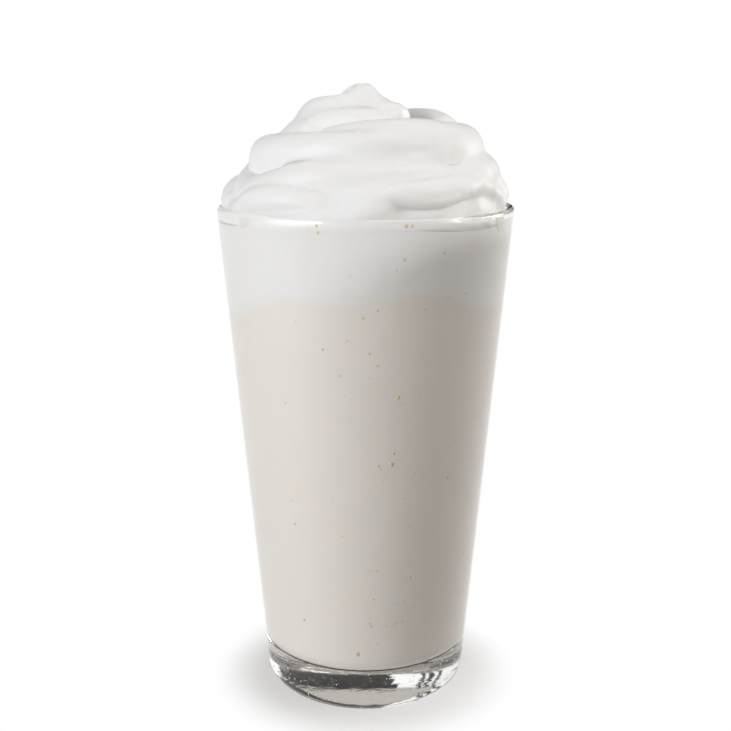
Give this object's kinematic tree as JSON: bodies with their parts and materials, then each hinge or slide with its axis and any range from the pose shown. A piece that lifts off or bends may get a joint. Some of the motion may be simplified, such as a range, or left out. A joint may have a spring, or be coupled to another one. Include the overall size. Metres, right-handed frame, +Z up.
{
  "type": "tall glass of ayran",
  "caption": "Tapered clear tumbler filled with a frothy milk drink, a foam layer and a piped swirl of whipped cream above the rim.",
  "frame": {"origin": "on the table, under the middle of the glass", "axes": "+Z up along the glass, -Y to the front, +X to the right"},
  "size_m": [0.0888, 0.0888, 0.1873],
  "materials": {
    "glass": "clear, fire-polished",
    "drink": "opaque milky drink, faintly warm, with fine golden specks",
    "foam": "fine wet froth with small bubbles",
    "whipped_cream": "soft satin whipped cream"
  },
  "bodies": {
    "root": {"glass": "glass", "drink": "drink", "foam": "foam", "whipped_cream": "whipped_cream"}
  },
  "joints": []
}
